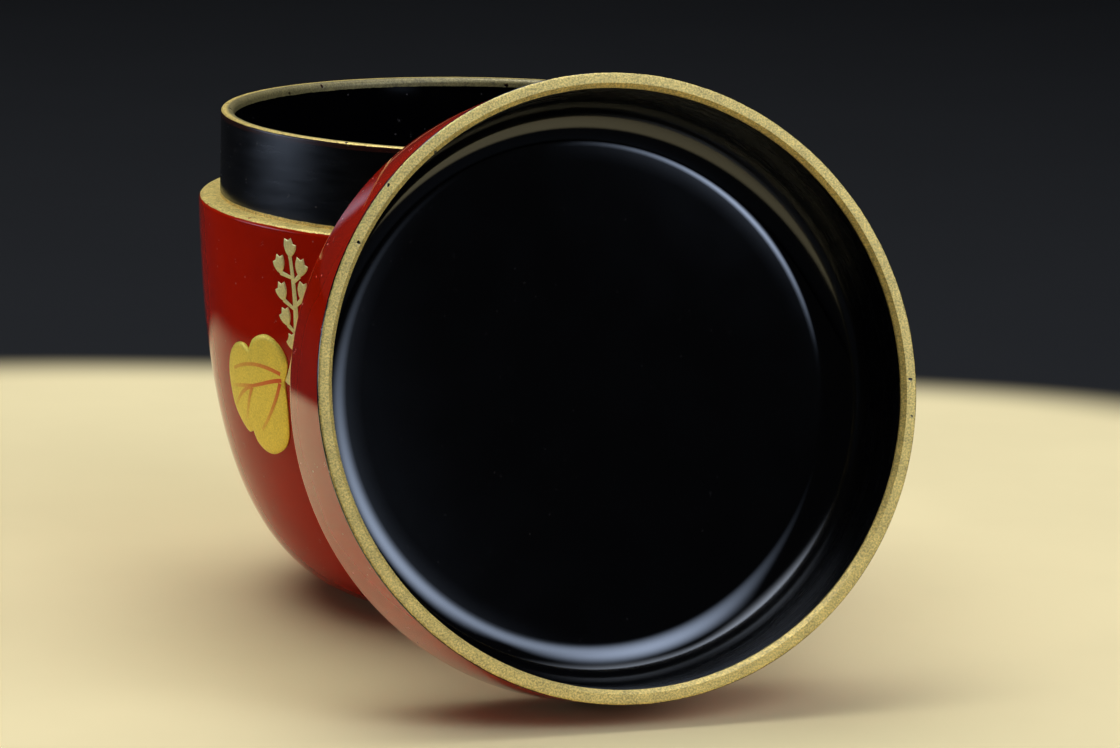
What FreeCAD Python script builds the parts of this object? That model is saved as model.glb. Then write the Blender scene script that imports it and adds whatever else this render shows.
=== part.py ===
"""Turned wooden tea caddy: a rounded body, an upright collar let into its mouth, and a push-on lid.

The caddy stands on its flat foot at the origin, +Z up. The lid is off: it stands on its edge
in front of the body, mouth outwards, and leans back against the body's shoulder.
"""
import os

import FreeCAD
import Part

# Body, all lengths in millimetres
OUTER_RADIUS = 36.0
LEDGE_HEIGHT = 50.6
FOOT_RADIUS = 15.0
FOOT_SPREAD = 16.0
FOOT_RISE = 3.8
FLANK_INSET = 0.8
FLANK_DROP = 26.0
LEDGE_WIDTH = 2.6
LEDGE_ROUND = 0.6
BOTTOM_THICKNESS = 5.0
FLOOR_INSET = 4.0

# Collar ring, standing just inside the ledge
COLLAR_WALL = 1.6
COLLAR_RISE = 10.6
COLLAR_SEAT_DEPTH = 9.0
COLLAR_LIP_ROUND = 0.35
COLLAR_LIP_BEVEL = 0.7
COLLAR_RADIUS = OUTER_RADIUS - LEDGE_WIDTH

# Lid
LID_HEIGHT = 17.8
LID_WALL_HEIGHT = 12.6
LID_WALL_TAPER = 0.25
LID_SHOULDER_REACH = 6.2
LID_CROWN_RISE = 1.0
LID_MOUTH_ROUND = 0.3
LID_MOUTH_BEVEL = 0.5
LID_FIT_CLEARANCE = 0.85
LID_BORE_TAPER = 0.35
LID_TOP_THICKNESS = 3.2
LID_BORE_DEPTH = 8.6
LID_CORNER_REACH = 5.0

# How the lid stands: turned about the vertical, leaning back, set beside the body's centre line
LID_TURN = 18.6
LID_LEAN = 14.3
LID_SIDE_SHIFT = -1.8
LID_LEAN_GAP = 0.3

# Share of a tangent at which a cubic curve comes closest to a quarter round
QUARTER_ROUND = 0.552
CONTACT_TOLERANCE = 0.002


def point(radius, height):
    """A point of a turned profile, in the XZ plane."""
    return FreeCAD.Vector(radius, 0, height)


def line(start, end):
    """A straight stretch of a profile."""
    return Part.LineSegment(start, end).toShape()


def curve(*poles):
    """A smooth stretch of a profile, from the first pole to the last, drawn towards the others."""
    bezier = Part.BezierCurve()
    bezier.setPoles(list(poles))
    return bezier.toShape()


def quarter_round(start, corner, end):
    """A quarter circle that takes off the corner; both ends lie as far from the corner."""
    centre = start + end - corner
    outwards = (corner - centre).normalize()
    return Part.Arc(start, centre + outwards * centre.distanceToPoint(start), end).toShape()


def soft_corner(start, corner, end):
    """A stretch that leaves start towards corner and reaches end coming from it."""
    return curve(
        start,
        start + (corner - start) * QUARTER_ROUND,
        end + (corner - end) * QUARTER_ROUND,
        end,
    )


def turn(edges):
    """Revolve a closed profile about the vertical axis."""
    face = Part.Face(Part.Wire(Part.__sortEdges__(edges)))
    solid = face.revolve(FreeCAD.Vector(0, 0, 0), FreeCAD.Vector(0, 0, 1), 360)
    return solid if solid.Volume > 0 else solid.reversed()


def make_body():
    """Cup with a rounded flank, a flat ledge for the lid and a rebate for the collar."""
    bowl_radius = COLLAR_RADIUS - COLLAR_WALL
    seat_height = LEDGE_HEIGHT - COLLAR_SEAT_DEPTH
    shoulder_height = LEDGE_HEIGHT - LEDGE_ROUND

    foot = point(FOOT_RADIUS, 0)
    shoulder = point(OUTER_RADIUS, shoulder_height)
    ledge_edge = point(OUTER_RADIUS - LEDGE_ROUND, LEDGE_HEIGHT)
    rebate_top = point(COLLAR_RADIUS, LEDGE_HEIGHT)
    rebate_floor = point(COLLAR_RADIUS, seat_height)
    bowl_edge = point(bowl_radius, seat_height)
    bowl_floor = point(FOOT_RADIUS - FLOOR_INSET, BOTTOM_THICKNESS)
    floor_centre = point(0, BOTTOM_THICKNESS)

    foot_handle = point(FOOT_RADIUS + FOOT_SPREAD, FOOT_RISE)
    flank_handle = point(OUTER_RADIUS - FLANK_INSET, shoulder_height - FLANK_DROP)
    inwards = point(bowl_radius - OUTER_RADIUS, 0)
    upwards = point(0, BOTTOM_THICKNESS)
    return turn([
        line(point(0, 0), foot),
        curve(foot, foot_handle, flank_handle, shoulder),
        quarter_round(shoulder, point(OUTER_RADIUS, LEDGE_HEIGHT), ledge_edge),
        line(ledge_edge, rebate_top),
        line(rebate_top, rebate_floor),
        line(rebate_floor, bowl_edge),
        curve(bowl_edge, flank_handle + inwards, foot_handle + inwards + upwards, bowl_floor),
        line(bowl_floor, floor_centre),
        line(floor_centre, point(0, 0)),
    ])


def make_collar():
    """Thin ring that stands in the body's rebate, flush inside, with a bevelled lip."""
    inner = COLLAR_RADIUS - COLLAR_WALL
    seat = LEDGE_HEIGHT - COLLAR_SEAT_DEPTH
    top = LEDGE_HEIGHT + COLLAR_RISE

    outer_foot = point(COLLAR_RADIUS, seat)
    outer_lip = point(COLLAR_RADIUS, top - COLLAR_LIP_ROUND)
    lip_outside = point(COLLAR_RADIUS - COLLAR_LIP_ROUND, top)
    lip_inside = point(inner + COLLAR_LIP_BEVEL, top)
    inner_lip = point(inner, top - COLLAR_LIP_BEVEL)
    inner_foot = point(inner, seat)
    return turn([
        line(outer_foot, outer_lip),
        quarter_round(outer_lip, point(COLLAR_RADIUS, top), lip_outside),
        line(lip_outside, lip_inside),
        quarter_round(lip_inside, point(inner, top), inner_lip),
        line(inner_lip, inner_foot),
        line(inner_foot, outer_foot),
    ])


def make_lid():
    """Lid with its mouth down at height 0: straight wall, rounded shoulder, slightly crowned top."""
    bore_radius = COLLAR_RADIUS + LID_FIT_CLEARANCE
    deep_radius = bore_radius - LID_BORE_TAPER
    wall_radius = OUTER_RADIUS - LID_WALL_TAPER
    crown_edge_height = LID_HEIGHT - LID_CROWN_RISE
    crown_radius = wall_radius - LID_SHOULDER_REACH
    ceiling_height = LID_HEIGHT - LID_TOP_THICKNESS
    ceiling_edge_height = ceiling_height - LID_CROWN_RISE
    ceiling_radius = deep_radius - LID_CORNER_REACH

    mouth_outside = point(OUTER_RADIUS - LID_MOUTH_ROUND, 0)
    wall_foot = point(OUTER_RADIUS, LID_MOUTH_ROUND)
    wall_top = point(wall_radius, LID_WALL_HEIGHT)
    crown_edge = point(crown_radius, crown_edge_height)
    crown_top = point(0, LID_HEIGHT)
    ceiling_top = point(0, ceiling_height)
    ceiling_edge = point(ceiling_radius, ceiling_edge_height)
    bore_top = point(deep_radius, LID_BORE_DEPTH)
    bore_foot = point(bore_radius, LID_MOUTH_BEVEL)
    mouth_inside = point(bore_radius + LID_MOUTH_BEVEL, 0)

    crown_slope = 2 * LID_CROWN_RISE / crown_radius
    ceiling_slope = 2 * LID_CROWN_RISE / ceiling_radius
    shoulder_corner = point(wall_radius, crown_edge_height - crown_slope * LID_SHOULDER_REACH)
    bore_corner = point(deep_radius, ceiling_edge_height - ceiling_slope * LID_CORNER_REACH)
    return turn([
        quarter_round(mouth_outside, point(OUTER_RADIUS, 0), wall_foot),
        line(wall_foot, wall_top),
        soft_corner(wall_top, shoulder_corner, crown_edge),
        curve(crown_edge, point(crown_radius / 2, LID_HEIGHT), crown_top),
        line(crown_top, ceiling_top),
        curve(ceiling_top, point(ceiling_radius / 2, ceiling_height), ceiling_edge),
        soft_corner(ceiling_edge, bore_corner, bore_top),
        line(bore_top, bore_foot),
        line(bore_foot, mouth_inside),
        line(mouth_inside, mouth_outside),
    ])


def lean_against(lid, caddy):
    """Stand the lid on its edge on the floor and move it up to the caddy until it all but touches."""
    origin = FreeCAD.Vector(0, 0, 0)
    lid.rotate(origin, FreeCAD.Vector(1, 0, 0), -(90 + LID_LEAN))
    lid.rotate(origin, FreeCAD.Vector(0, 0, 1), LID_TURN)
    turn_about_z = FreeCAD.Rotation(FreeCAD.Vector(0, 0, 1), LID_TURN)
    towards_caddy = turn_about_z.multVec(FreeCAD.Vector(0, 1, 0))
    sideways = turn_about_z.multVec(FreeCAD.Vector(1, 0, 0))

    bounds = lid.optimalBoundingBox(False)
    clear_distance = 2 * OUTER_RADIUS + 2 * LID_HEIGHT
    start = sideways * LID_SIDE_SHIFT - towards_caddy * clear_distance
    lid.translate(start + FreeCAD.Vector(0, 0, -bounds.ZMin))
    spare = lid.distToShape(caddy)[0] - LID_LEAN_GAP
    while spare > CONTACT_TOLERANCE:
        lid.translate(towards_caddy * spare)
        spare = lid.distToShape(caddy)[0] - LID_LEAN_GAP
    return lid


body = make_body()
inner_collar = make_collar()
lid = lean_against(make_lid(), Part.makeCompound([body, inner_collar]))

os.makedirs("parts", exist_ok=True)
for node, shape in (("body", body), ("inner_collar", inner_collar), ("lid", lid)):
    shape.exportStep(f"parts/{node}.step")
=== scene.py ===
"""Looks of a lacquered tea caddy whose lid leans against it: turned shells, gold rims, gold sprigs."""
import math
from bisect import bisect_left

import bmesh
import bpy
from mathutils import Matrix, Vector
from mathutils.geometry import interpolate_bezier


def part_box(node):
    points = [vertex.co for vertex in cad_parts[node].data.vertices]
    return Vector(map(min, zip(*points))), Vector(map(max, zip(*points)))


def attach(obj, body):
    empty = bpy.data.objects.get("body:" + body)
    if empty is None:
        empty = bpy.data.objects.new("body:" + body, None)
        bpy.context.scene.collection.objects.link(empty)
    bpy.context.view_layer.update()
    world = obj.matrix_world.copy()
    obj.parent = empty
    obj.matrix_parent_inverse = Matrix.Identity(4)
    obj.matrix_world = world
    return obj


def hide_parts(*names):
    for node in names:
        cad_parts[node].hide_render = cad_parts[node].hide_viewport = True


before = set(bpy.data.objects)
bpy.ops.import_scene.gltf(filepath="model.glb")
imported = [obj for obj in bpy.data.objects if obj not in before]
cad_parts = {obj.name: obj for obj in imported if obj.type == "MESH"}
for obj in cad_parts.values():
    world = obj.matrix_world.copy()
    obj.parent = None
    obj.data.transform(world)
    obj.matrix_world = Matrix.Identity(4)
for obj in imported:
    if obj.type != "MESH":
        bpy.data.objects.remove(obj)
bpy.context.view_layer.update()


# Body
# A cup turned from one block of wood and lacquered vermilion outside and black inside.
# Its mouth is rebated for the collar, and the ledge left around it is dusted with gold powder.
MM = 0.001
TURN_STEPS = 144
MERGE_DISTANCE = 1e-7
SHARP_ANGLE = math.radians(32)
QUARTER_ROUND = 0.552
CLOUD_RANGE = (0.3, 0.7)
CLOUD_MIDDLE = 0.5
DOT_CORE = 0.7
LOT_STEP = 0.01

body_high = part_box("body")[1]
collar_low, collar_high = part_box("inner_collar")
outer_radius = body_high.x
ledge_height = body_high.z
ledge_round = 0.6 * MM
shoulder_height = ledge_height - ledge_round
foot_radius = 15.0 * MM
foot_spread = 16.0 * MM
foot_rise = 3.8 * MM
flank_inset = 0.8 * MM
flank_drop = 26.0 * MM
collar_radius = collar_high.x
collar_seat = collar_low.z
collar_wall = 1.6 * MM
bowl_radius = collar_radius - collar_wall
bowl_bottom = 5.0 * MM
bowl_floor_radius = 11.0 * MM

red_lacquer_colour = (0.41, 0.010, 0.0005, 1)
black_lacquer_colour = (0.0007, 0.0006, 0.0007, 1)
mark_colour = (0.52, 0.42, 0.36, 1)
rim_gold_colour = (0.69, 0.475, 0.118, 1)
# The ledge's gold is painted brighter than the same gold on the rims and the collar's foot: painted
# light from above.
ledge_gold_painted_lit_colour = (0.80, 0.57, 0.155, 1)
gold_ledge_drop = 0.22
body_gloss = 0.17
body_nicks = 0.2
bowl_nicks = 0.04
polish_roughness = (0.05, 0.065)
streak_scale = (0.13, 0.13, 1.1)
mark_strength = 0.8
mark_roughness = 0.4
mark_height = 0.4
ripple_height = 0.12
gold_roughness = (0.52, 0.36)
gold_grain_height = 1.2
gold_coat_height = 1.0
rim_gold_metal = 0.35
line_waver = 0.16
line_tremble = 0.14
line_softness = 0.025
relief_depth = 0.03 * MM
lacquer_relief = 0.5


def at(radius, height):
    """A point of a turned profile."""
    return Vector((radius, 0, height))


def corner_curve(start, corner, end, steps=8):
    """A stretch that leaves start towards corner and reaches end coming from it."""
    return interpolate_bezier(
        start,
        start.lerp(corner, QUARTER_ROUND),
        end.lerp(corner, QUARTER_ROUND),
        end,
        steps,
    )


def turned_shell(stretches):
    """Turn (material slot, points) stretches about the upright axis into one closed skin."""
    shell = bmesh.new()
    for slot, points in stretches:
        before = set(shell.faces)
        verts = [shell.verts.new(p) for p in points]
        edges = [shell.edges.new(pair) for pair in zip(verts, verts[1:])]
        bmesh.ops.spin(
            shell,
            geom=verts + edges,
            axis=(0, 0, 1),
            cent=(0, 0, 0),
            angle=math.tau,
            steps=TURN_STEPS,
            use_merge=True,
        )
        for face in set(shell.faces) - before:
            face.material_index = slot
    bmesh.ops.remove_doubles(shell, verts=shell.verts, dist=MERGE_DISTANCE)
    bmesh.ops.recalc_face_normals(shell, faces=shell.faces)
    return shell


def finished_piece(name, shape, materials):
    """Make a smooth-shaded object of a bmesh and give it its materials."""
    mesh = bpy.data.meshes.new(name)
    shape.to_mesh(mesh)
    shape.free()
    mesh.shade_smooth()
    mesh.set_sharp_from_angle(angle=SHARP_ANGLE)
    for material in materials:
        mesh.materials.append(material)
    piece = bpy.data.objects.new(name, mesh)
    bpy.context.scene.collection.objects.link(piece)
    return piece


def feed(tree, node, inputs):
    """Feed a node's inputs, by name or number, from sockets or plain values."""
    for key, value in inputs.items():
        if isinstance(value, bpy.types.NodeSocket):
            tree.links.new(value, node.inputs[key])
        else:
            node.inputs[key].default_value = value


def add_node(tree, kind, inputs=None, **settings):
    """Add a shader node, set its own settings and feed its inputs."""
    node = tree.nodes.new(kind)
    for key, value in settings.items():
        setattr(node, key, value)
    feed(tree, node, inputs or {})
    return node


def calculate(tree, operation, *values):
    """One Math node; gives its result."""
    inputs = dict(enumerate(values))
    return add_node(tree, "ShaderNodeMath", inputs, operation=operation).outputs[0]


def ramp(tree, value, low, high, new_low=0.0, new_high=1.0):
    """Spread a value smoothly from one range to another."""
    inputs = {
        "Value": value,
        "From Min": low,
        "From Max": high,
        "To Min": new_low,
        "To Max": new_high,
    }
    node = add_node(tree, "ShaderNodeMapRange", inputs, interpolation_type="SMOOTHSTEP")
    return node.outputs["Result"]


def blend_colours(tree, factor, first, second, blend_type="MIX"):
    """Mix two colours by a mask; the node's colour sockets are known only by their numbers."""
    inputs = {0: factor, 6: first, 7: second}
    node = add_node(tree, "ShaderNodeMix", inputs, data_type="RGBA", blend_type=blend_type)
    return node.outputs[2]


def blend_values(tree, factor, first, second):
    """Mix two plain values by a mask."""
    inputs = {"Factor": factor, "A": first, "B": second}
    return add_node(tree, "ShaderNodeMix", inputs, data_type="FLOAT").outputs[0]


def noise(tree, vector, scale, detail=2.0, roughness=0.5):
    """A cloud pattern, as many features to the millimetre as scale says."""
    inputs = {"Vector": vector, "Scale": scale, "Detail": detail, "Roughness": roughness}
    return add_node(tree, "ShaderNodeTexNoise", inputs).outputs[0]


def sparse_dots(tree, vector, scale, radius, rarity):
    """Mask of small dots, one to a cell of the scaled space, most of them left out."""
    inputs = {0: vector, 1: scale}
    scaled = add_node(tree, "ShaderNodeVectorMath", inputs, operation="MULTIPLY").outputs[0]
    cells = add_node(tree, "ShaderNodeTexVoronoi", {"Vector": scaled, "Scale": 1.0}).outputs
    dots = ramp(tree, cells["Distance"], radius * DOT_CORE, radius, 1, 0)
    lot = add_node(tree, "ShaderNodeSeparateColor", {"Color": cells["Color"]}).outputs[0]
    return calculate(tree, "MULTIPLY", dots, ramp(tree, lot, rarity, rarity + LOT_STEP))


def bent(tree, vector, scale, reach):
    """Coordinates pushed about by a noise, so that a mark has a ragged outline."""
    inputs = {"Vector": vector, "Scale": scale, "Detail": 0.0}
    push = add_node(tree, "ShaderNodeTexNoise", inputs).outputs["Color"]
    inputs = {0: push, 1: (reach, reach, reach), 2: vector}
    return add_node(tree, "ShaderNodeVectorMath", inputs, operation="MULTIPLY_ADD").outputs[0]


def new_group(name, inputs, outputs):
    """An empty node group with named sockets; gives the group, what it is given and its end."""
    group = bpy.data.node_groups.new(name, "ShaderNodeTree")
    for in_out, sockets in (("INPUT", inputs), ("OUTPUT", outputs)):
        for socket_name, kind in sockets.items():
            group.interface.new_socket(socket_name, in_out=in_out, socket_type=f"NodeSocket{kind}")
    given = group.nodes.new("NodeGroupInput").outputs
    return group, given, group.nodes.new("NodeGroupOutput")


def lacquer_coat_group():
    """Polished lacquer: faint clouds of colour, specks and nicks, and a rubbed, streaky gloss."""
    group, given, end = new_group(
        "lacquer_coat",
        {"Vector": "Vector", "Colour": "Color", "Nicks": "Float", "Rubbing": "Float"},
        {"Colour": "Color", "Roughness": "Float", "Height": "Float"},
    )
    place = given["Vector"]
    clouds = noise(group, place, scale=0.09, detail=3)
    shade = ramp(group, clouds, *CLOUD_RANGE, 0.92, 1.06)
    clouded = blend_colours(group, 1.0, given["Colour"], shade, "MULTIPLY")

    specks = sparse_dots(group, place, scale=(0.8, 0.8, 0.8), radius=0.12, rarity=0.75)
    ragged = bent(group, place, scale=5.0, reach=1.0)
    nicks = sparse_dots(group, ragged, scale=(0.7, 0.45, 0.2), radius=0.09, rarity=0.70)
    blemishes = calculate(group, "MAXIMUM", specks, nicks)
    marks = calculate(group, "MULTIPLY", blemishes, given["Nicks"])
    mark_mask = calculate(group, "MULTIPLY", marks, mark_strength)

    streaky = add_node(group, "ShaderNodeMapping", {"Vector": place, "Scale": streak_scale}).outputs[0]
    brushing = noise(group, streaky, scale=1.0, detail=4, roughness=0.6)
    streaks = ramp(group, brushing, *CLOUD_RANGE, 0.7, 1.0)
    polish = ramp(group, noise(group, place, scale=0.16), *CLOUD_RANGE, *polish_roughness)
    rubbed = calculate(group, "MULTIPLY_ADD", streaks, given["Rubbing"], polish)
    ripple = calculate(group, "MULTIPLY", noise(group, place, scale=0.35, detail=1), ripple_height)
    feed(group, end, {
        "Colour": blend_colours(group, mark_mask, clouded, mark_colour),
        "Roughness": calculate(group, "MULTIPLY_ADD", marks, mark_roughness, rubbed),
        "Height": calculate(group, "MULTIPLY_ADD", marks, mark_height, ripple),
    })
    return group


def gold_powder_group():
    """Gold powder sprinkled on wet lacquer: fine grain, thinner patches and small chips."""
    group, given, end = new_group(
        "gold_powder",
        {"Vector": "Vector", "Colour": "Color", "Grain": "Float"},
        {"Colour": "Color", "Roughness": "Float", "Height": "Float", "Chips": "Float"},
    )
    place = given["Vector"]
    grain = noise(group, place, scale=4.2, detail=3, roughness=0.7)
    patches = noise(group, place, scale=0.5, detail=3, roughness=0.6)
    fine = ramp(group, grain, 0.32, 0.68, -0.42, 0.30)
    broad = ramp(group, patches, *CLOUD_RANGE, -0.14, 0.08)
    unevenness = calculate(group, "ADD", fine, broad)
    shade = calculate(group, "MULTIPLY_ADD", unevenness, given["Grain"], 1.0)
    ragged = bent(group, place, scale=2.5, reach=0.3)
    feed(group, end, {
        "Colour": blend_colours(group, 1.0, given["Colour"], shade, "MULTIPLY"),
        "Roughness": ramp(group, grain, *CLOUD_RANGE, *gold_roughness),
        "Height": grain,
        "Chips": sparse_dots(group, ragged, scale=(0.5, 0.5, 0.5), radius=0.15, rarity=0.62),
    })
    return group


def hand_line_group():
    """A brushed edge between two coats: full past the line, none before it, a little unsteady."""
    group, given, end = new_group(
        "hand_line",
        {"Vector": "Vector", "Place": "Float", "Line": "Float"},
        {"Mask": "Float"},
    )
    slow = noise(group, given["Vector"], scale=0.25)
    quick = noise(group, given["Vector"], scale=2.5, detail=3, roughness=0.65)
    waver = calculate(group, "SUBTRACT", slow, CLOUD_MIDDLE)
    tremble = calculate(group, "SUBTRACT", quick, CLOUD_MIDDLE)
    small_wobble = calculate(group, "MULTIPLY", tremble, line_tremble)
    wobble = calculate(group, "MULTIPLY_ADD", waver, line_waver, small_wobble)
    brushed_place = calculate(group, "ADD", given["Place"], wobble)
    past = calculate(group, "SUBTRACT", brushed_place, given["Line"])
    feed(group, end, {"Mask": ramp(group, past, -line_softness, line_softness)})
    return group


lacquer_coat = lacquer_coat_group()
gold_powder = gold_powder_group()
hand_line = hand_line_group()


def new_material(name):
    """A material with only its shader; gives the material, its tree and the shader."""
    material = bpy.data.materials.new(name)
    material.use_nodes = True
    return material, material.node_tree, material.node_tree.nodes["Principled BSDF"]


def millimetres(tree, place=(0, 0, 0), turn=(0, 0, 0)):
    """Object coordinates in millimetres, measured from a place and turned with it."""
    coordinates = add_node(tree, "ShaderNodeTexCoord").outputs["Object"]
    inputs = {"Vector": coordinates, "Location": place, "Rotation": turn, "Scale": (MM, MM, MM)}
    return add_node(tree, "ShaderNodeMapping", inputs, vector_type="TEXTURE").outputs[0]


def place_group(tree, group, **inputs):
    """Put a node group into a material and feed its inputs; gives its outputs."""
    return add_node(tree, "ShaderNodeGroup", inputs, node_tree=group).outputs


def relief(tree, height, strength):
    """A bump a few hundredths of a millimetre deep, for a shader's Normal."""
    inputs = {"Height": height, "Strength": strength, "Distance": relief_depth}
    return add_node(tree, "ShaderNodeBump", inputs).outputs[0]


def gilded_shader(tree, shader, vector, lacquer, gold_colour, gold_mask):
    """Feed a shader with lacquer where the mask is empty and gold powder where it is full."""
    gold = place_group(tree, gold_powder, Vector=vector, Colour=gold_colour, Grain=1.0)
    unchipped = calculate(tree, "SUBTRACT", 1.0, gold["Chips"])
    gilt = calculate(tree, "MULTIPLY", gold_mask, unchipped)
    gold_height = calculate(
        tree, "MULTIPLY_ADD", gold["Height"], gold_grain_height, gold_coat_height
    )
    height = blend_values(tree, gilt, lacquer["Height"], gold_height)
    feed(tree, shader, {
        "Base Color": blend_colours(tree, gilt, lacquer["Colour"], gold["Colour"]),
        "Metallic": calculate(tree, "MULTIPLY", gilt, rim_gold_metal),
        "Roughness": blend_values(tree, gilt, lacquer["Roughness"], gold["Roughness"]),
        "Normal": relief(tree, height, lacquer_relief),
    })


def body_outside():
    """Vermilion lacquer with a gold ledge, whose gold is painted brighter than the rims' as painted
    light from above.
    """
    material, tree, shader = new_material("vermilion_with_gold_ledge")
    vector = millimetres(tree)
    height = add_node(tree, "ShaderNodeSeparateXYZ", {"Vector": vector}).outputs["Z"]
    gold_from = ledge_height / MM - gold_ledge_drop
    on_ledge = place_group(tree, hand_line, Vector=vector, Place=height, Line=gold_from)["Mask"]
    lacquer = place_group(
        tree, lacquer_coat, Vector=vector, Colour=red_lacquer_colour, Nicks=body_nicks
    )
    # The ledge gets the brighter gold, painted light from above.
    gilded_shader(tree, shader, vector, lacquer, ledge_gold_painted_lit_colour, on_ledge)
    feed(tree, shader, {"Specular IOR Level": body_gloss})
    return material


def black_inside():
    """Plain black lacquer."""
    material, tree, shader = new_material("black_lacquer")
    vector = millimetres(tree)
    lacquer = place_group(
        tree, lacquer_coat, Vector=vector, Colour=black_lacquer_colour, Nicks=bowl_nicks
    )
    feed(tree, shader, {
        "Base Color": lacquer["Colour"],
        "Roughness": lacquer["Roughness"],
        "Normal": relief(tree, lacquer["Height"], lacquer_relief),
    })
    return material


foot = at(foot_radius, 0)
foot_handle = at(foot_radius + foot_spread, foot_rise)
flank_handle = at(outer_radius - flank_inset, shoulder_height - flank_drop)
shoulder = at(outer_radius, shoulder_height)
ledge_edge = at(outer_radius - ledge_round, ledge_height)
flank = interpolate_bezier(foot, foot_handle, flank_handle, shoulder, 60)
inwards = at(bowl_radius - outer_radius, 0)
upwards = at(0, bowl_bottom)
bowl = interpolate_bezier(
    at(bowl_radius, collar_seat),
    flank_handle + inwards,
    foot_handle + inwards + upwards,
    at(bowl_floor_radius, bowl_bottom),
    40,
)
rebate = [
    at(collar_radius, ledge_height),
    at(collar_radius, collar_seat),
    at(bowl_radius, collar_seat),
]
body_skin = turned_shell([
    (0, [at(0, 0), foot]),
    (0, flank),
    (0, corner_curve(shoulder, at(outer_radius, ledge_height), ledge_edge)),
    (0, [ledge_edge, at(collar_radius, ledge_height)]),
    (1, rebate),
    (1, bowl),
    (1, [at(bowl_floor_radius, bowl_bottom), at(0, bowl_bottom)]),
])
body_piece = finished_piece("body_shell", body_skin, [body_outside(), black_inside()])
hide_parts("body")
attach(body_piece, "caddy")


# Collar
# A thin wooden ring glued into the rebate, black outside and inside.
# Its lip is rounded off inwards and gilded, and the gold of the ledge climbs its foot a little.
collar_top = collar_high.z
lip_round = 0.35 * MM
lip_bevel = 0.7 * MM
lip_gold_outside = 0.12
lip_gold_inside = 1.05
foot_gold_rise = 0.42
lip_wear_depth = 0.75
lip_wear_colour = (0.022, 0.005, 0.0025, 1)
# The lip's gold is painted much darker on its inner face: painted shade.
lip_inside_gold_painted_shade_colour = (0.20, 0.15, 0.05, 1)
collar_gloss = 0.42
collar_nicks = 0.1
lid_rubbing = 0.22


def collar_finish():
    """Black lacquer with a gilded lip and a thin gold line round the foot; the lip's gold is painted
    dark on its inner face as painted shade.
    """
    material, tree, shader = new_material("black_with_gold_lip")
    vector = millimetres(tree)
    parts = add_node(tree, "ShaderNodeSeparateXYZ", {"Vector": vector}).outputs
    level = add_node(tree, "ShaderNodeCombineXYZ", {"X": parts["X"], "Y": parts["Y"]}).outputs[0]
    radius = add_node(tree, "ShaderNodeVectorMath", {0: level}, operation="LENGTH").outputs["Value"]
    inset = calculate(tree, "SUBTRACT", collar_radius / MM, radius)
    outside = ramp(tree, inset, 0.1, 0.3, 1, 0)
    top = collar_top / MM

    lean = (lip_gold_inside - lip_gold_outside) / (collar_wall / MM)
    leaning_height = calculate(tree, "MULTIPLY_ADD", inset, lean, parts["Z"])
    lip_line = top - lip_gold_outside
    on_lip = place_group(tree, hand_line, Vector=vector, Place=leaning_height, Line=lip_line)["Mask"]
    depth = calculate(tree, "MULTIPLY", parts["Z"], -1.0)
    foot_line = -(ledge_height / MM + foot_gold_rise)
    on_foot = place_group(tree, hand_line, Vector=vector, Place=depth, Line=foot_line)["Mask"]
    gold = calculate(tree, "MAXIMUM", on_lip, calculate(tree, "MULTIPLY", on_foot, outside))
    # Painted shade: the gold darkens towards the lip's inner face.
    painted_shade_inside = ramp(tree, inset, 0.5, 1.0)
    gold_colour = blend_colours(tree, painted_shade_inside, rim_gold_colour, lip_inside_gold_painted_shade_colour)

    wear_line = top - lip_wear_depth
    worn = place_group(tree, hand_line, Vector=vector, Place=parts["Z"], Line=wear_line)["Mask"]
    lacquer = place_group(
        tree,
        lacquer_coat,
        Vector=vector,
        Colour=blend_colours(tree, worn, black_lacquer_colour, lip_wear_colour),
        Nicks=collar_nicks,
        Rubbing=calculate(tree, "MULTIPLY", outside, lid_rubbing),
    )
    gilded_shader(tree, shader, vector, lacquer, gold_colour, gold)
    feed(tree, shader, {"Specular IOR Level": collar_gloss})
    return material


lip_start = at(collar_radius, collar_top - lip_round)
lip_outer = at(collar_radius - lip_round, collar_top)
lip_inner = at(bowl_radius + lip_bevel, collar_top)
lip_end = at(bowl_radius, collar_top - lip_bevel)
collar_skin = turned_shell([
    (0, [at(collar_radius, collar_seat), lip_start]),
    (0, corner_curve(lip_start, at(collar_radius, collar_top), lip_outer)),
    (0, [lip_outer, lip_inner]),
    (0, corner_curve(lip_inner, at(bowl_radius, collar_top), lip_end)),
    (0, [lip_end, at(bowl_radius, collar_seat)]),
    (0, [at(bowl_radius, collar_seat), at(collar_radius, collar_seat)]),
])
collar_piece = finished_piece("collar_ring", collar_skin, [collar_finish()])
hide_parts("inner_collar")
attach(collar_piece, "caddy")


# Lid
# A shallow turned lid: straight wall, rounded shoulder, slightly crowned top, black inside.
# Its mouth is a flat gilded ring with a small bevel; it stands on edge, leaning on the body.
lid_height = 17.8 * MM
lid_wall = 12.6 * MM
lid_taper = 0.25 * MM
lid_shoulder = 6.2 * MM
lid_crown = 1.0 * MM
lid_top = 3.2 * MM
mouth_round = 0.3 * MM
mouth_bevel = 0.5 * MM
bore_clearance = 0.85 * MM
bore_taper = 0.35 * MM
bore_depth = 8.6 * MM
bore_corner_reach = 5.0 * MM
lid_turn = math.radians(18.6)
lid_lean = math.radians(14.3)
mouth_gold_outside = 0.10
mouth_black_line = 0.46
mouth_gold_inside = 0.80
rubbed_depth = 9.5
polished_depth = 13.6

bore_radius = collar_radius + bore_clearance
deep_radius = bore_radius - bore_taper
wall_radius = outer_radius - lid_taper
crown_radius = wall_radius - lid_shoulder
crown_edge = at(crown_radius, lid_height - lid_crown)
crown_drop = 2 * lid_crown / crown_radius * lid_shoulder
ceiling_radius = deep_radius - bore_corner_reach
ceiling_height = lid_height - lid_top
ceiling_edge = at(ceiling_radius, ceiling_height - lid_crown)
ceiling_drop = 2 * lid_crown / ceiling_radius * bore_corner_reach


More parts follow.
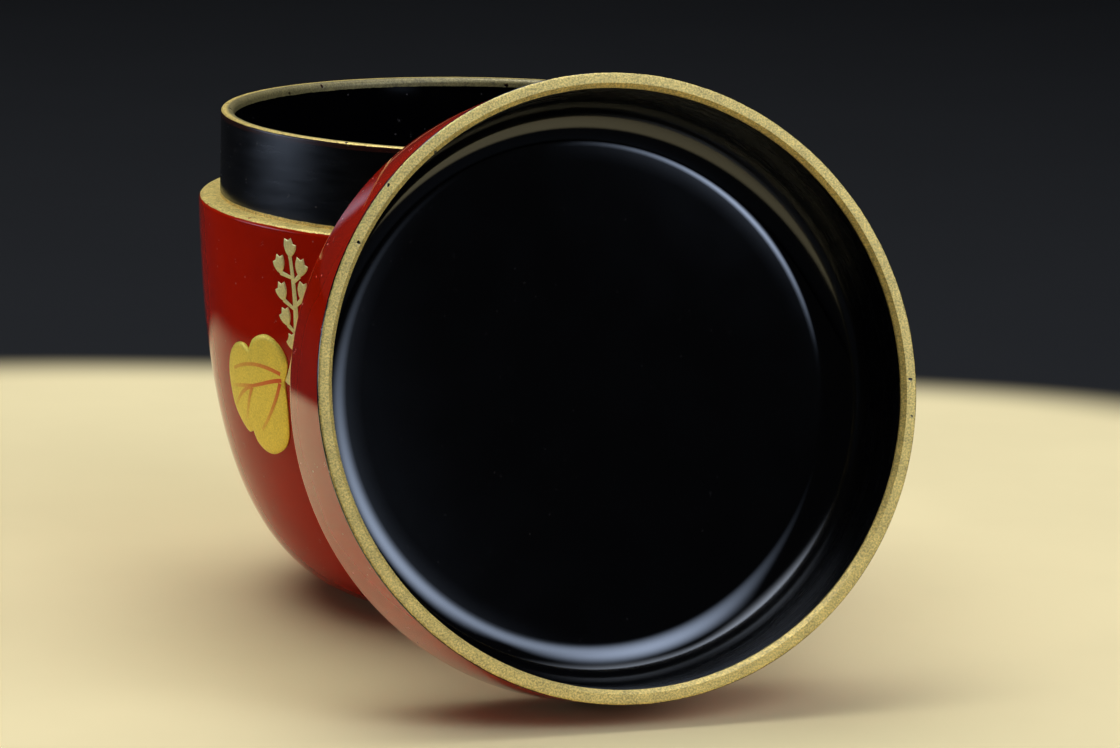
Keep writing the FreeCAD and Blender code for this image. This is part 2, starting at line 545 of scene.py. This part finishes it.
def crowned(edge, top, steps=16):
    """A shallow dome from its edge to its top on the axis."""
    handle = at(edge.x / 2, top)
    centre = at(0, top)
    return interpolate_bezier(edge, edge.lerp(handle, 2 / 3), centre.lerp(handle, 2 / 3), centre, steps)


mouth_outer = at(outer_radius - mouth_round, 0)
mouth_inner = at(bore_radius + mouth_bevel, 0)
wall_foot = at(outer_radius, mouth_round)
wall_top = at(wall_radius, lid_wall)
bore_foot = at(bore_radius, mouth_bevel)
bore_top = at(deep_radius, bore_depth)
shoulder_corner = at(wall_radius, crown_edge.z - crown_drop)
bore_corner = at(deep_radius, ceiling_edge.z - ceiling_drop)
lid_skin = turned_shell([
    (0, [mouth_inner, mouth_outer]),
    (0, corner_curve(mouth_outer, at(outer_radius, 0), wall_foot)),
    (0, [wall_foot, wall_top]),
    (0, corner_curve(wall_top, shoulder_corner, crown_edge, 24)),
    (0, crowned(crown_edge, lid_height)),
    (1, [mouth_inner, bore_foot, bore_top]),
    (1, corner_curve(bore_top, bore_corner, ceiling_edge, 24)),
    (1, crowned(ceiling_edge, ceiling_height)),
])
tipped_over = Matrix.Rotation(-(math.pi / 2 + lid_lean), 4, "X")
lid_rotation = Matrix.Rotation(lid_turn, 4, "Z") @ tipped_over
bmesh.ops.transform(lid_skin, matrix=lid_rotation, verts=lid_skin.verts)
lid_low, lid_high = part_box("lid")
spun_middle = Vector([
    (min(v.co[axis] for v in lid_skin.verts) + max(v.co[axis] for v in lid_skin.verts)) / 2
    for axis in range(3)
])
mouth_centre = (lid_low + lid_high) / 2 - spun_middle
bmesh.ops.translate(lid_skin, vec=mouth_centre, verts=lid_skin.verts)


def lid_finish(name, colour, gold_line, black_line, nicks, rubbing, gloss):
    """Lacquer rubbed dull near a gilded mouth; a black undercoat shows where the gold ends."""
    material, tree, shader = new_material(name)
    vector = millimetres(tree, mouth_centre, lid_rotation.to_euler())
    depth = add_node(tree, "ShaderNodeSeparateXYZ", {"Vector": vector}).outputs["Z"]
    nearness = calculate(tree, "MULTIPLY", depth, -1.0)
    gold = place_group(tree, hand_line, Vector=vector, Place=nearness, Line=-gold_line)["Mask"]
    dark = place_group(tree, hand_line, Vector=vector, Place=nearness, Line=-black_line)["Mask"]
    lacquer = place_group(
        tree,
        lacquer_coat,
        Vector=vector,
        Colour=blend_colours(tree, dark, colour, black_lacquer_colour),
        Nicks=nicks,
        Rubbing=ramp(tree, depth, rubbed_depth, polished_depth, rubbing, 0.0),
    )
    gilded_shader(tree, shader, vector, lacquer, rim_gold_colour, gold)
    feed(tree, shader, {"Specular IOR Level": gloss})
    return material


lid_outside = lid_finish(
    "vermilion_with_gold_mouth",
    colour=red_lacquer_colour,
    gold_line=mouth_gold_outside,
    black_line=mouth_black_line,
    nicks=1.0,
    rubbing=0.0,
    gloss=0.6,
)
lid_inside = lid_finish(
    "black_with_gold_mouth",
    colour=black_lacquer_colour,
    gold_line=mouth_gold_inside,
    black_line=mouth_gold_inside,
    nicks=0.02,
    rubbing=0.24,
    gloss=0.75,
)
lid_piece = finished_piece("lid_shell", lid_skin, [lid_outside, lid_inside])
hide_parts("lid")
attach(lid_piece, "lid")


# Gold sprigs
# Leaves and flowering stalks built up in lacquer a fraction of a millimetre high, then gilded.
# Three of them stand round the body; the leaf veins are drawn over the gold in thin red lacquer.
STROKE_STEPS = 12
leaf_height = 0.34 * MM
bud_height = 0.16 * MM
upright_share = 0.45
soft_edge = ((0.25, 0.30), (0.35, 0.18), (0.40, 0.07))
leaf_edge_width = 0.70 * MM
bud_edge_width = 0.14 * MM
vein_lift = 0.012 * MM
leaf_gold_colour = (0.94, 0.70, 0.080, 1)
bud_gold_colour = (0.92, 0.78, 0.30, 1)
vein_colour = (0.80, 0.10, 0.008, 1)
sprig_grain = 0.3
sprig_gold_metal = 0.38
sprig_relief = 0.3
vein_metal = 0.3
leaf_outline = [
    (0.3, -0.4), (1.0, 1.7), (0.3, 3.5), (-1.5, 4.8), (-3.3, 4.9), (-5.2, 4.0), (-6.2, 2.6),
    (-7.5, 3.2), (-9.3, 2.8), (-11.0, 1.3), (-11.9, -0.9), (-12.0, -3.2), (-11.6, -5.5),
    (-10.3, -7.3), (-8.8, -8.4), (-7.6, -8.0), (-6.9, -9.5), (-5.1, -10.4), (-3.1, -10.3),
    (-1.0, -9.1), (0.0, -7.4), (0.3, -5.3), (0.4, -2.7),
]
leaf_notches = {0, 6, 15}
leaf_veins = [
    ((0.1, 0.7), [(-0.1, 0.5), (-3.0, 1.2), (-6.0, 1.3), (-10.0, -0.4)]),
    ((0.0, 0.25), [(0.0, -0.3), (-2.0, -0.6), (-4.0, -1.5), (-6.2, -2.0)]),
    ((0.3, 0.95), [(-6.0, -2.0), (-7.8, -2.2), (-9.5, -2.5), (-11.0, -2.8)]),
    ((0.3, 0.9), [(-6.1, -2.0), (-7.9, -2.6), (-9.6, -3.9), (-10.7, -5.2)]),
    ((0.3, 0.9), [(-6.0, -2.1), (-6.9, -3.4), (-7.7, -5.0), (-8.3, -6.6)]),
    ((0.0, 0.8), [(-0.3, -0.7), (-1.2, -3.0), (-3.0, -5.6), (-5.0, -7.4)]),
]
vein_widths = (0.52, 0.40)
side_leaf_place = (3.4 * MM, -0.8 * MM, 0)
side_leaf_turn = math.radians(24)
side_leaf_size = 0.92
bud_outline = [
    (0.0, -1.3), (0.58, -0.75), (0.9, -0.1), (0.93, 0.36), (0.45, 0.45),
    (0.12, 1.15), (-0.26, 0.8), (-0.84, 0.98), (-0.92, 0.1), (-0.55, -0.75),
]
bud_notches = {0, 3, 4, 5, 6, 7}
bud_places = [
    (2.1, 16.4, 0), (0.3, 14.2, 12), (3.8, 14.2, -12), (0.6, 10.9, 18), (4.1, 11.3, -16),
    (1.1, 7.85, 20), (4.7, 7.9, -20), (2.1, 4.8, 24), (5.3, 4.8, -24),
]
bud_base = Vector((0, -1.1 * MM, 0))
stem_line = [(0.8, -0.6), (3.0, 3.2), (3.3, 8.0), (2.1, 15.4)]
stem_widths = (1.1, 0.5)
stem_lift = bud_height * 0.3
stem_crown = bud_height * 0.5
pedicel_fall = Vector((0, -0.9, 0))
pedicel_widths = (0.6, 0.4)
pedicel_crown = bud_height * 0.4
sprig_rise = 31.9 * MM
sprig_angles = {"front": -133.4, "right": -13.4, "back": 106.6}

flank_lengths = [0.0]
for lower, higher in zip(flank, flank[1:]):
    flank_lengths.append(flank_lengths[-1] + (higher - lower).length)
sprig_step = bisect_left([point.z for point in flank], sprig_rise)
below, above = flank[sprig_step - 1], flank[sprig_step]
sprig_foot = below.lerp(above, (sprig_rise - below.z) / (above.z - below.z))
sprig_length = flank_lengths[sprig_step - 1] + (sprig_foot - below).length


def lay_on_flank(shape, angle):
    """Wrap a flat shape, drawn about the sprig's foot, onto the body at an angle round it."""
    for vert in shape.verts:
        length = sprig_length + vert.co.y
        step = bisect_left(flank_lengths, length)
        lower, higher = flank[step - 1], flank[step]
        share = (length - flank_lengths[step - 1]) / (flank_lengths[step] - flank_lengths[step - 1])
        along = (higher - lower).normalized()
        raised = lower.lerp(higher, share) + at(along.z, -along.x) * vert.co.z
        turned = math.radians(angle) + vert.co.x / sprig_foot.x
        vert.co = Matrix.Rotation(turned, 3, "Z") @ raised
    bmesh.ops.recalc_face_normals(shape, faces=shape.faces)


def smooth_loop(knots, notches, steps):
    """Points of a closed curve through the knots, smooth except at the notches."""
    points = [Vector((x, y, 0)) * MM for x, y in knots]
    ahead = points[1:] + points[:1]
    behind = points[-1:] + points[:-1]
    slopes = [
        Vector() if index in notches else (ahead[index] - behind[index]) / 6
        for index in range(len(points))
    ]
    loop = []
    for point, slope, after, after_slope in zip(points, slopes, ahead, slopes[1:] + slopes[:1]):
        loop += interpolate_bezier(point, point + slope, after - after_slope, after, steps)[:-1]
    return loop


def raised_patch(shape, loop, height, edge_width):
    """Add a raised patch with a rounded edge and the given outline to a flat shape."""
    face = shape.faces.new([shape.verts.new(point) for point in loop])
    face.normal_update()
    if face.normal.z < 0:
        face.normal_flip()
    raised = bmesh.ops.extrude_face_region(shape, geom=[face])["geom"]
    top = [part for part in raised if isinstance(part, bmesh.types.BMFace)]
    top_verts = [part for part in raised if isinstance(part, bmesh.types.BMVert)]
    bmesh.ops.translate(shape, vec=(0, 0, height * upright_share), verts=top_verts)
    for width, lift in soft_edge:
        bmesh.ops.inset_region(
            shape,
            faces=top,
            thickness=edge_width * width,
            depth=height * lift,
            use_even_offset=True,
        )
    fine = set(bmesh.ops.triangulate(shape, faces=top)["faces"])
    edges = list({edge for face in fine for edge in face.edges if fine.issuperset(edge.link_faces)})
    bmesh.ops.subdivide_edges(shape, edges=edges, cuts=2, use_grid_fill=True)


def stroke(shape, knots, widths, lift, crown=0.0, fades=(0, 0)):
    """Add a tapering brush stroke along a curve drawn by four knots to a flat shape."""
    line = interpolate_bezier(*[Vector((x, y, 0)) * MM for x, y in knots], STROKE_STEPS + 1)
    fade = shape.verts.layers.float.get("fade") or shape.verts.layers.float.new("fade")
    strip = bmesh.ops.create_grid(shape, x_segments=STROKE_STEPS, y_segments=2, size=1)["verts"]
    for vert in strip:
        share = (vert.co.x + 1) / 2
        vert[fade] = fades[0] + (fades[1] - fades[0]) * share
        step = round(share * STROKE_STEPS)
        along = (line[min(step + 1, STROKE_STEPS)] - line[max(step - 1, 0)]).normalized()
        width = (widths[0] + (widths[1] - widths[0]) * share) * MM
        side = vert.co.y
        across = Vector((-along.y, along.x, 0)) * side * width / 2
        vert.co = line[step] + across + Vector((0, 0, lift + crown * (1 - side * side)))


def sprig_gold(name, colour):
    """Raised gold powder."""
    material, tree, shader = new_material(name)
    vector = millimetres(tree)
    gold = place_group(tree, gold_powder, Vector=vector, Colour=colour, Grain=sprig_grain)
    feed(tree, shader, {
        "Base Color": gold["Colour"],
        "Metallic": sprig_gold_metal,
        "Roughness": gold["Roughness"],
        "Normal": relief(tree, gold["Height"], sprig_relief),
    })
    return material


def vein_red():
    """Thin red lacquer drawn over the gold of the leaf, running dry towards the tips."""
    material, tree, shader = new_material("leaf_vein_red")
    vector = millimetres(tree)
    lacquer = place_group(tree, lacquer_coat, Vector=vector, Colour=vein_colour)
    gold = place_group(tree, gold_powder, Vector=vector, Colour=leaf_gold_colour, Grain=sprig_grain)
    dry = add_node(tree, "ShaderNodeAttribute", attribute_name="fade").outputs["Fac"]
    feed(tree, shader, {
        "Base Color": blend_colours(tree, dry, lacquer["Colour"], gold["Colour"]),
        "Metallic": vein_metal,
        "Roughness": gold["Roughness"],
    })
    return material


leaf_gold = sprig_gold("leaf_gold", leaf_gold_colour)
bud_gold = sprig_gold("bud_gold", bud_gold_colour)
leaf_red = vein_red()
side_leaf = Matrix.Translation(side_leaf_place) @ Matrix.Rotation(side_leaf_turn, 4, "Z")
side_leaf = side_leaf @ Matrix.Diagonal((-side_leaf_size, side_leaf_size, 1, 1))
leaf_poses = {"leaf": Matrix.Identity(4), "side_leaf": side_leaf}
stem_points = interpolate_bezier(*[Vector((x, y, 0)) for x, y in stem_line], 40)
for sprig_name, angle in sprig_angles.items():
    for leaf_name, pose in leaf_poses.items():
        leaf = bmesh.new()
        raised_patch(leaf, smooth_loop(leaf_outline, leaf_notches, 7), leaf_height, leaf_edge_width)
        veins = bmesh.new()
        for fades, vein in leaf_veins:
            stroke(veins, vein, vein_widths, leaf_height + vein_lift, fades=fades)
        for shape, piece_name, material in (
            (leaf, f"{leaf_name}_{sprig_name}", leaf_gold),
            (veins, f"{leaf_name}_veins_{sprig_name}", leaf_red),
        ):
            bmesh.ops.transform(shape, matrix=pose, verts=shape.verts)
            lay_on_flank(shape, angle)
            piece = finished_piece(piece_name, shape, [material])
            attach(piece, "caddy")

    stalk = bmesh.new()
    for x, y, lean in bud_places:
        bud = smooth_loop(bud_outline, bud_notches, 4)
        pose = Matrix.Translation((x * MM, y * MM, 0)) @ Matrix.Rotation(math.radians(lean), 4, "Z")
        if lean > 0:
            pose = pose @ Matrix.Diagonal((-1, 1, 1, 1))
        raised_patch(stalk, [pose @ point for point in bud], bud_height, bud_edge_width)
        bud_foot = pose @ bud_base / MM
        joint = min(stem_points, key=lambda point: (point - bud_foot - pedicel_fall).length)
        pedicel = [bud_foot.lerp(joint, share).to_2d() for share in (0, 1 / 3, 2 / 3, 1)]
        stroke(stalk, pedicel, pedicel_widths, stem_lift, pedicel_crown)
    stroke(stalk, stem_line, stem_widths, stem_lift, stem_crown)
    lay_on_flank(stalk, angle)
    stalk_piece = finished_piece(f"flower_stalk_{sprig_name}", stalk, [bud_gold])
    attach(stalk_piece, "caddy")


# Floor
# A surface that the caddy and the edge of the lid stand on: matt paper, pale round the caddy.
# The pale middle is a painted pool of light, and further out the paper is painted dark as painted
# fall-off of light, so that the lacquer mirrors a dark room.
floor_half_width = 4.0
# Painted light: the pale middle is a painted pool of light, the dark beyond it painted shade.
painted_pool_middle = (0, 0.010, 0)
painted_pool_reach = 0.116
painted_falloff_reach = 0.140
floor_colour = (0.70, 0.54, 0.265, 1)
painted_dark_floor_colour = (0.011, 0.0105, 0.010, 1)
floor_roughness = 0.8
floor_gloss = 0.05


def floor_finish():
    """Pale matt paper with a faint unevenness, with a painted pool of light within a square with
    rounded corners and painted dark beyond it.
    """
    material, tree, shader = new_material("floor_with_painted_light_pool")
    vector = millimetres(tree, painted_pool_middle)
    clouds = noise(tree, vector, scale=0.02, detail=3)
    shade = ramp(tree, clouds, *CLOUD_RANGE, 0.97, 1.02)
    inputs = {0: vector, 1: vector}
    squared = add_node(tree, "ShaderNodeVectorMath", inputs, operation="MULTIPLY").outputs[0]
    length = add_node(tree, "ShaderNodeVectorMath", {0: squared}, operation="LENGTH").outputs["Value"]
    # Painted fall-off of light: the floor is painted dark beyond the pool.
    painted_falloff = ramp(tree, calculate(tree, "SQRT", length), painted_pool_reach / MM, painted_falloff_reach / MM)
    painted_pool_colour = blend_colours(tree, painted_falloff, floor_colour, painted_dark_floor_colour)
    feed(tree, shader, {
        "Base Color": blend_colours(tree, 1.0, painted_pool_colour, shade, "MULTIPLY"),
        "Roughness": floor_roughness,
        "Specular IOR Level": floor_gloss,
    })
    return material


floor_sheet = bmesh.new()
bmesh.ops.create_grid(floor_sheet, x_segments=1, y_segments=1, size=floor_half_width)
floor_piece = finished_piece("floor", floor_sheet, [floor_finish()])


# Light
# Soft boxes on the right, above it, and high on the left and at the back, a card and a low window.
# Each glows most in its middle and fades towards its edges.
light_target = mouth_centre
light_distance = 0.75
lamp_middle = 0.5
daylight = (0.80, 0.97, 1.30)
soft_white = (0.88, 0.985, 1.17)
room_colour = (0.012, 0.0125, 0.0135, 1)
soft_boxes = {
    "right_box": (66.5, 25, 0.72, 0.62, 4.9, daylight),
    "upper_box": (40, 50, 0.66, 0.80, 5.6, daylight),
    "low_card": (28.5, 7.2, 0.27, 0.20, 6.5, daylight),
    "left_box": (-106, 66, 0.95, 0.86, 6.2, soft_white),
    "back_box": (176, 70, 1.05, 0.86, 5.4, soft_white),
    "left_window": (-99, 6, 0.62, 0.26, 5.6, daylight),
}


def fade_edges(lamp):
    """Dim a lamp from its middle to its four edges, as cloth stretched over a box does."""
    lamp.use_nodes = True
    tree = lamp.node_tree
    place = add_node(tree, "ShaderNodeNewGeometry").outputs["Parametric"]
    sides = add_node(tree, "ShaderNodeSeparateXYZ", {"Vector": place}).outputs
    glow = 1.0
    for side in ("X", "Y"):
        off_middle = calculate(tree, "SUBTRACT", sides[side], lamp_middle)
        distance = calculate(tree, "ABSOLUTE", off_middle)
        glow = calculate(tree, "MULTIPLY", glow, ramp(tree, distance, 0.0, lamp_middle, 1, 0))
    feed(tree, tree.nodes["Emission"], {"Strength": glow})


for name, (azimuth, elevation, width, height, radiance, colour) in soft_boxes.items():
    bearing = math.radians(azimuth)
    climb = math.radians(elevation)
    towards = Vector((
        math.sin(bearing) * math.cos(climb),
        -math.cos(bearing) * math.cos(climb),
        math.sin(climb),
    ))
    lamp = bpy.data.lights.new(name, "AREA")
    lamp.shape = "RECTANGLE"
    lamp.size = width
    lamp.size_y = height
    lamp.energy = radiance * math.pi * width * height
    lamp.color = colour
    fade_edges(lamp)
    lamp_object = bpy.data.objects.new(name, lamp)
    lamp_object.location = light_target + towards * light_distance
    lamp_object.visible_camera = False
    lamp_object.rotation_euler = (-towards).to_track_quat("-Z", "Y").to_euler()
    bpy.context.scene.collection.objects.link(lamp_object)

room = bpy.data.worlds.new("dim_room")
room.use_nodes = True
feed(room.node_tree, room.node_tree.nodes["Background"], {"Color": room_colour})
bpy.context.scene.world = room


# Camera
# A long lens a little above the caddy, turned slightly and held not quite level.
PHOTO_WIDTH = 1120
FOCAL_LENGTH_IN_PIXELS = 4395.6
camera_place = Vector((6.144, -543.727, 137.359)) * MM
camera_turn = math.radians(0.369)
camera_dip = math.radians(11.356)
camera_roll = math.radians(1.524)

forward = Vector((
    math.sin(camera_turn) * math.cos(camera_dip),
    math.cos(camera_turn) * math.cos(camera_dip),
    -math.sin(camera_dip),
))
level_right = Vector((math.cos(camera_turn), -math.sin(camera_turn), 0))
level_up = level_right.cross(forward)
right = level_right * math.cos(camera_roll) + level_up * math.sin(camera_roll)
up = right.cross(forward)
camera_data = bpy.data.cameras.new("camera")
camera_data.sensor_fit = "HORIZONTAL"
camera_data.sensor_width = 36
camera_data.lens = FOCAL_LENGTH_IN_PIXELS / PHOTO_WIDTH * camera_data.sensor_width
camera_data.clip_start = 0.01
camera = bpy.data.objects.new("camera", camera_data)
camera_facing = Matrix((right, up, -forward)).transposed().to_4x4()
camera.matrix_world = Matrix.Translation(camera_place) @ camera_facing
bpy.context.scene.collection.objects.link(camera)
bpy.context.scene.camera = camera

bpy.context.scene.view_settings.view_transform = "Standard"
